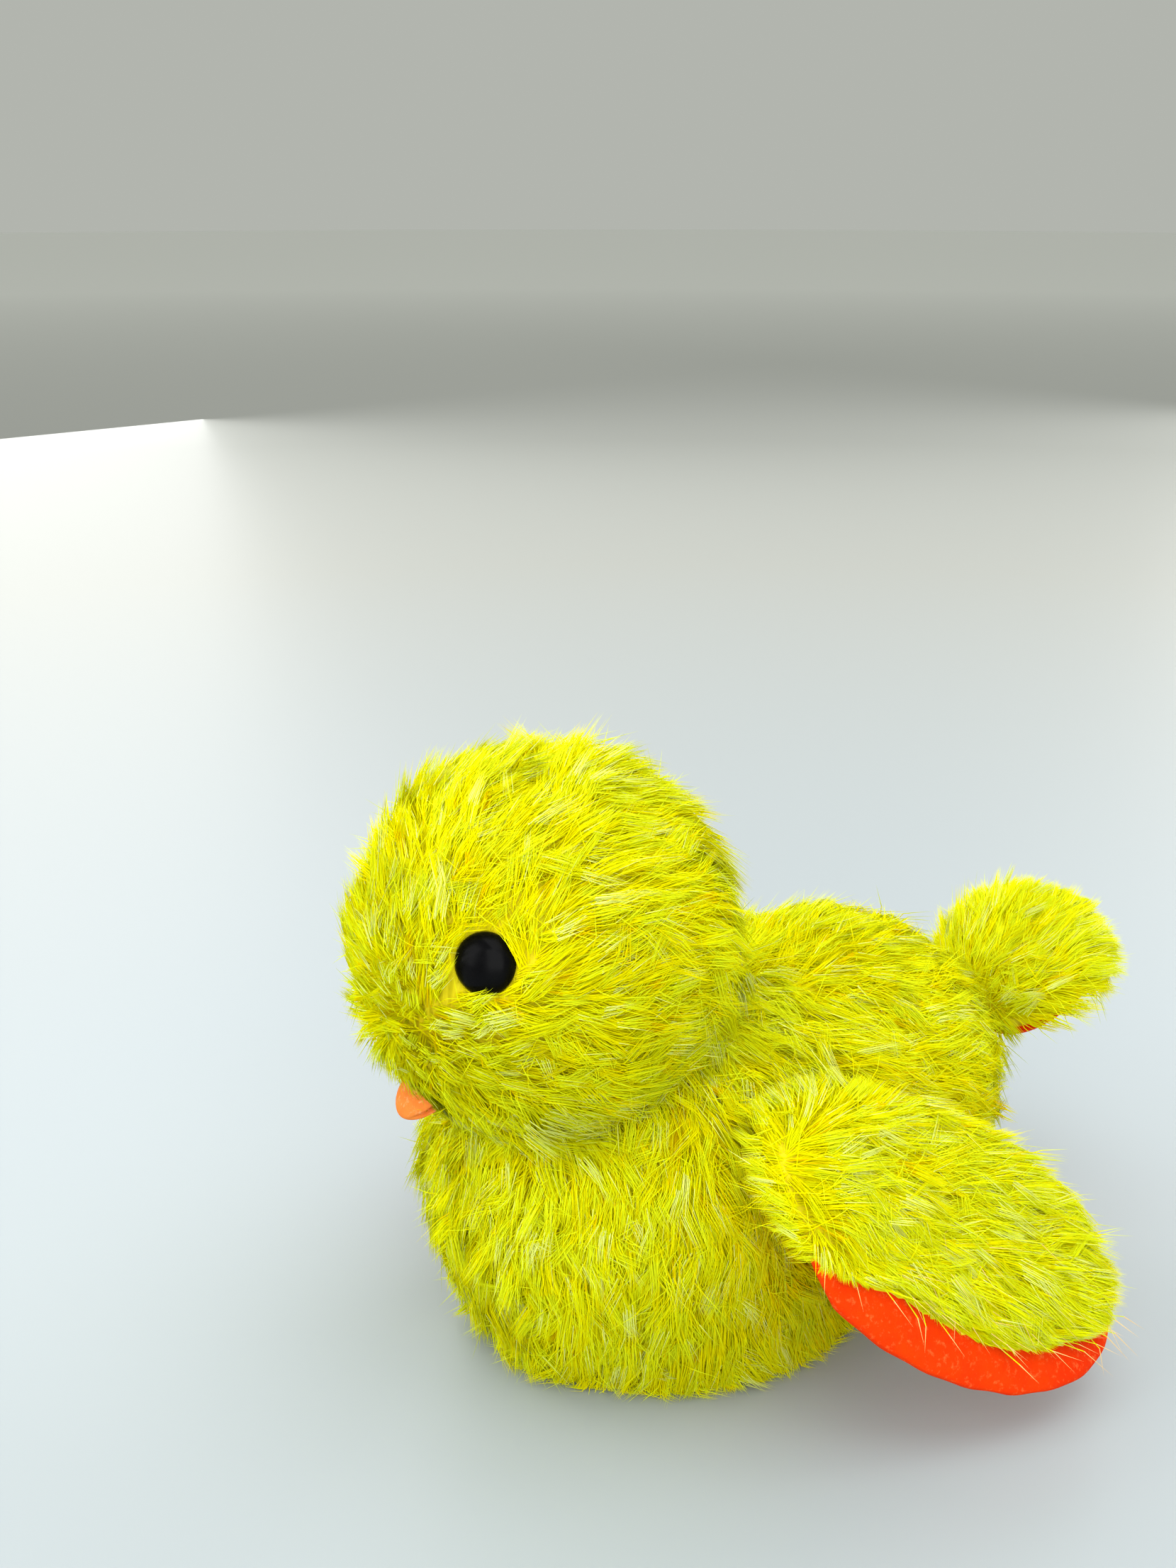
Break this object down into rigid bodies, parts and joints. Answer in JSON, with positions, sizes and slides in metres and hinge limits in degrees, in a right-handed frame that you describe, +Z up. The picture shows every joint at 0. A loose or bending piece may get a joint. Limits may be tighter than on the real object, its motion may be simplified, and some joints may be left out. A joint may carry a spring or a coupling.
{
  "type": "wind-up hopping chicken",
  "caption": "Plush chick over a clockwork movement: a side key winds a spring that drives a gear train and crank to kick two hidden feet.",
  "frame": {"origin": "on the floor under the middle of the bounding box", "axes": "+Z up, the chick faces -Y, its left side is +X"},
  "size_m": [0.0828, 0.0958, 0.066],
  "materials": {
    "plush_yellow": "long soft pile",
    "felt_orange": "brushed felt",
    "stuffing_white": "fibre",
    "plastic_black": "gloss",
    "plastic_orange": "satin",
    "plastic_ivory": "satin",
    "steel": "satin",
    "brass": "satin"
  },
  "bodies": {
    "chick": {"head_cover_left": "plush_yellow", "head_cover_right": "plush_yellow", "head_stuffing": "stuffing_white", "left_eye": "plastic_black", "right_eye": "plastic_black", "left_eye_washer": "steel", "right_eye_washer": "steel", "beak": "felt_orange", "body_cover_left": "plush_yellow", "body_cover_right": "plush_yellow", "body_stuffing": "stuffing_white", "movement_case_left": "plastic_ivory", "movement_case_right": "plastic_ivory", "case_screw_1": "steel", "case_screw_2": "steel", "case_screw_3": "steel", "mainspring": "steel", "key_eyelet": "brass", "leg_pivot_pin": "steel", "base_plate": "plastic_orange", "base_screw_1": "steel", "base_screw_2": "steel"},
    "winding": {"winding_key": "plastic_orange", "winding_arbor": "steel", "great_wheel": "brass"},
    "second_wheel": {"second_wheel": "brass"},
    "crank": {"crank_pinion": "brass", "left_crank": "steel", "right_crank": "steel"},
    "legs": {"left_leg": "plastic_orange", "right_leg": "plastic_orange", "leg_tie_rod": "steel"},
    "left_wing": {"left_wing_fur": "plush_yellow", "left_wing_felt": "felt_orange", "left_wing_padding": "stuffing_white"},
    "right_wing": {"right_wing_fur": "plush_yellow", "right_wing_felt": "felt_orange", "right_wing_padding": "stuffing_white"},
    "tail": {"tail_fur": "plush_yellow", "tail_felt": "felt_orange"}
  },
  "joints": [
    {"name": "key_turn", "type": "hinge", "parent": "chick", "child": "winding", "pos_m": [0, -0.01988, 0.0166], "axis": [1, 0, 0], "range_deg": [0, 1620]},
    {"name": "second_wheel_spin", "type": "hinge", "parent": "chick", "child": "second_wheel", "pos_m": [0, -0.01082, 0.02083], "axis": [1, 0, 0], "range_deg": [-6480, 0]},
    {"name": "crank_spin", "type": "hinge", "parent": "chick", "child": "crank", "pos_m": [0, -0.00682, 0.0139], "axis": [1, 0, 0], "range_deg": [0, 19440]},
    {"name": "hop", "type": "hinge", "parent": "chick", "child": "legs", "pos_m": [0, -0.00058, 0.01], "axis": [1, 0, 0], "range_deg": [0, 14]},
    {"name": "left_wing_flap", "type": "hinge", "parent": "chick", "child": "left_wing", "pos_m": [0.02188, -0.01586, 0.02939], "axis": [0.5107, -0.6586, -0.5526], "range_deg": [-3, 40], "stiffness_Nm_per_rad": 0.012},
    {"name": "right_wing_flap", "type": "hinge", "parent": "chick", "child": "right_wing", "pos_m": [-0.02188, -0.01586, 0.02939], "axis": [0.5107, 0.6586, 0.5526], "range_deg": [-3, 40], "stiffness_Nm_per_rad": 0.012},
    {"name": "tail_flap", "type": "hinge", "parent": "chick", "child": "tail", "pos_m": [0, 0.02942, 0.0238], "axis": [1, 0, 0], "range_deg": [-20, 15], "stiffness_Nm_per_rad": 0.006}
  ],
  "couplings": [
    {"joint": "second_wheel_spin", "follows": "key_turn", "ratio": -4},
    {"joint": "crank_spin", "follows": "key_turn", "ratio": 12}
  ]
}
